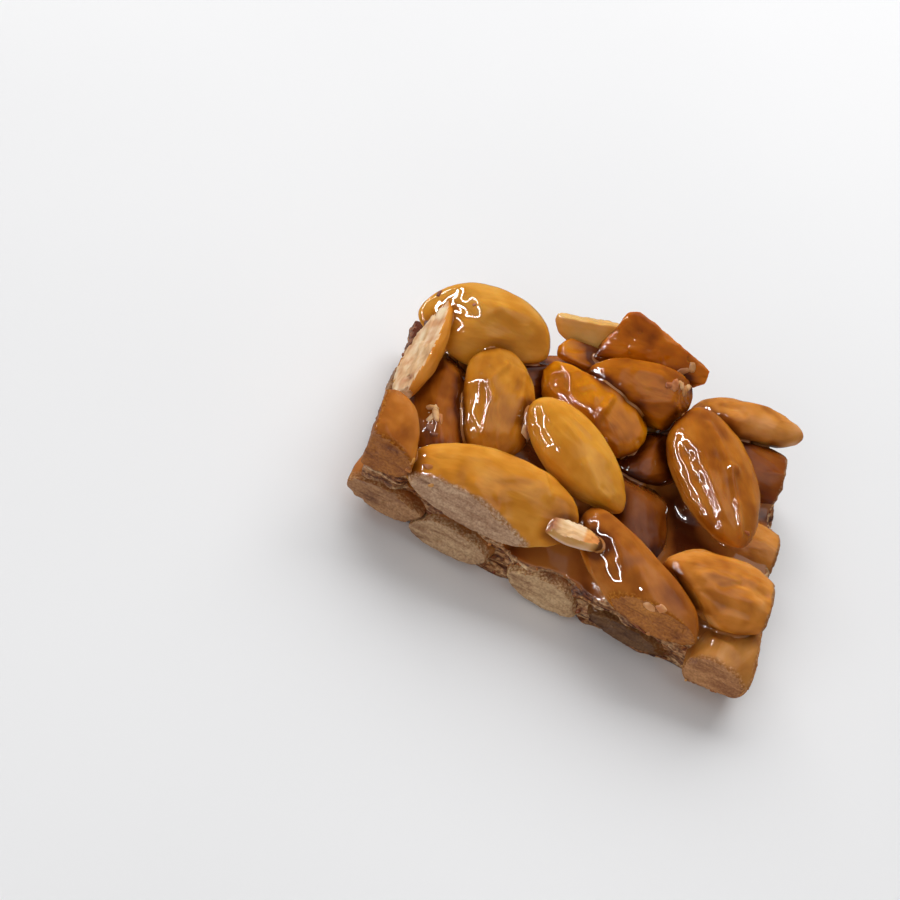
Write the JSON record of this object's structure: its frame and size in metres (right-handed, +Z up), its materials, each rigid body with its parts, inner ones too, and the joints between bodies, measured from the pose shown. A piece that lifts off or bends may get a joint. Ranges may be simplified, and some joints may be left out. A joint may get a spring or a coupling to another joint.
{
  "type": "almond nougat bar piece",
  "caption": "Hand-cut rectangular piece of hard almond nougat: whole roasted almonds in two layers bound by glossy amber caramel.",
  "frame": {"origin": "middle of the bounding box's base, on the flat face that the bar was poured on", "axes": "+X along the bar to the right, +Y from its front cut to its back, +Z up"},
  "size_m": [0.0716, 0.0518, 0.0233],
  "materials": {
    "roasted_almond": "roasted almond skin under a thin glossy film of caramel",
    "sliced_almond": "dry, rough knife cut across a roasted almond",
    "broken_almond": "pale, rough break of an almond kernel",
    "amber_caramel": "hard glossy boiled-sugar caramel, dark where it is deep"
  },
  "bodies": {
    "root": {"top_back_left": "roasted_almond", "top_upright": "roasted_almond", "top_middle": "roasted_almond", "top_wrinkled": "roasted_almond", "top_back": "roasted_almond", "top_right": "roasted_almond", "top_back_right": "roasted_almond", "top_front": "roasted_almond", "top_glazed": "roasted_almond", "top_right_end": "roasted_almond", "top_left": "roasted_almond", "top_left_corner": "roasted_almond", "gap_back": "roasted_almond", "gap_middle": "roasted_almond", "gap_right": "roasted_almond", "mid_back": "roasted_almond", "mid_right_back": "roasted_almond", "mid_right": "roasted_almond", "low_front_left": "sliced_almond", "low_front_second": "sliced_almond", "low_front_third": "sliced_almond", "low_front_fourth": "sliced_almond", "low_corner": "sliced_almond", "low_left": "sliced_almond", "low_back_left": "sliced_almond", "low_back_second": "sliced_almond", "low_back_third": "sliced_almond", "low_back_right": "sliced_almond", "low_right": "sliced_almond", "half_left": "broken_almond", "half_back": "broken_almond", "sliver_back": "broken_almond", "bit_back": "broken_almond", "chip_front": "broken_almond", "caramel": "amber_caramel"}
  },
  "joints": []
}
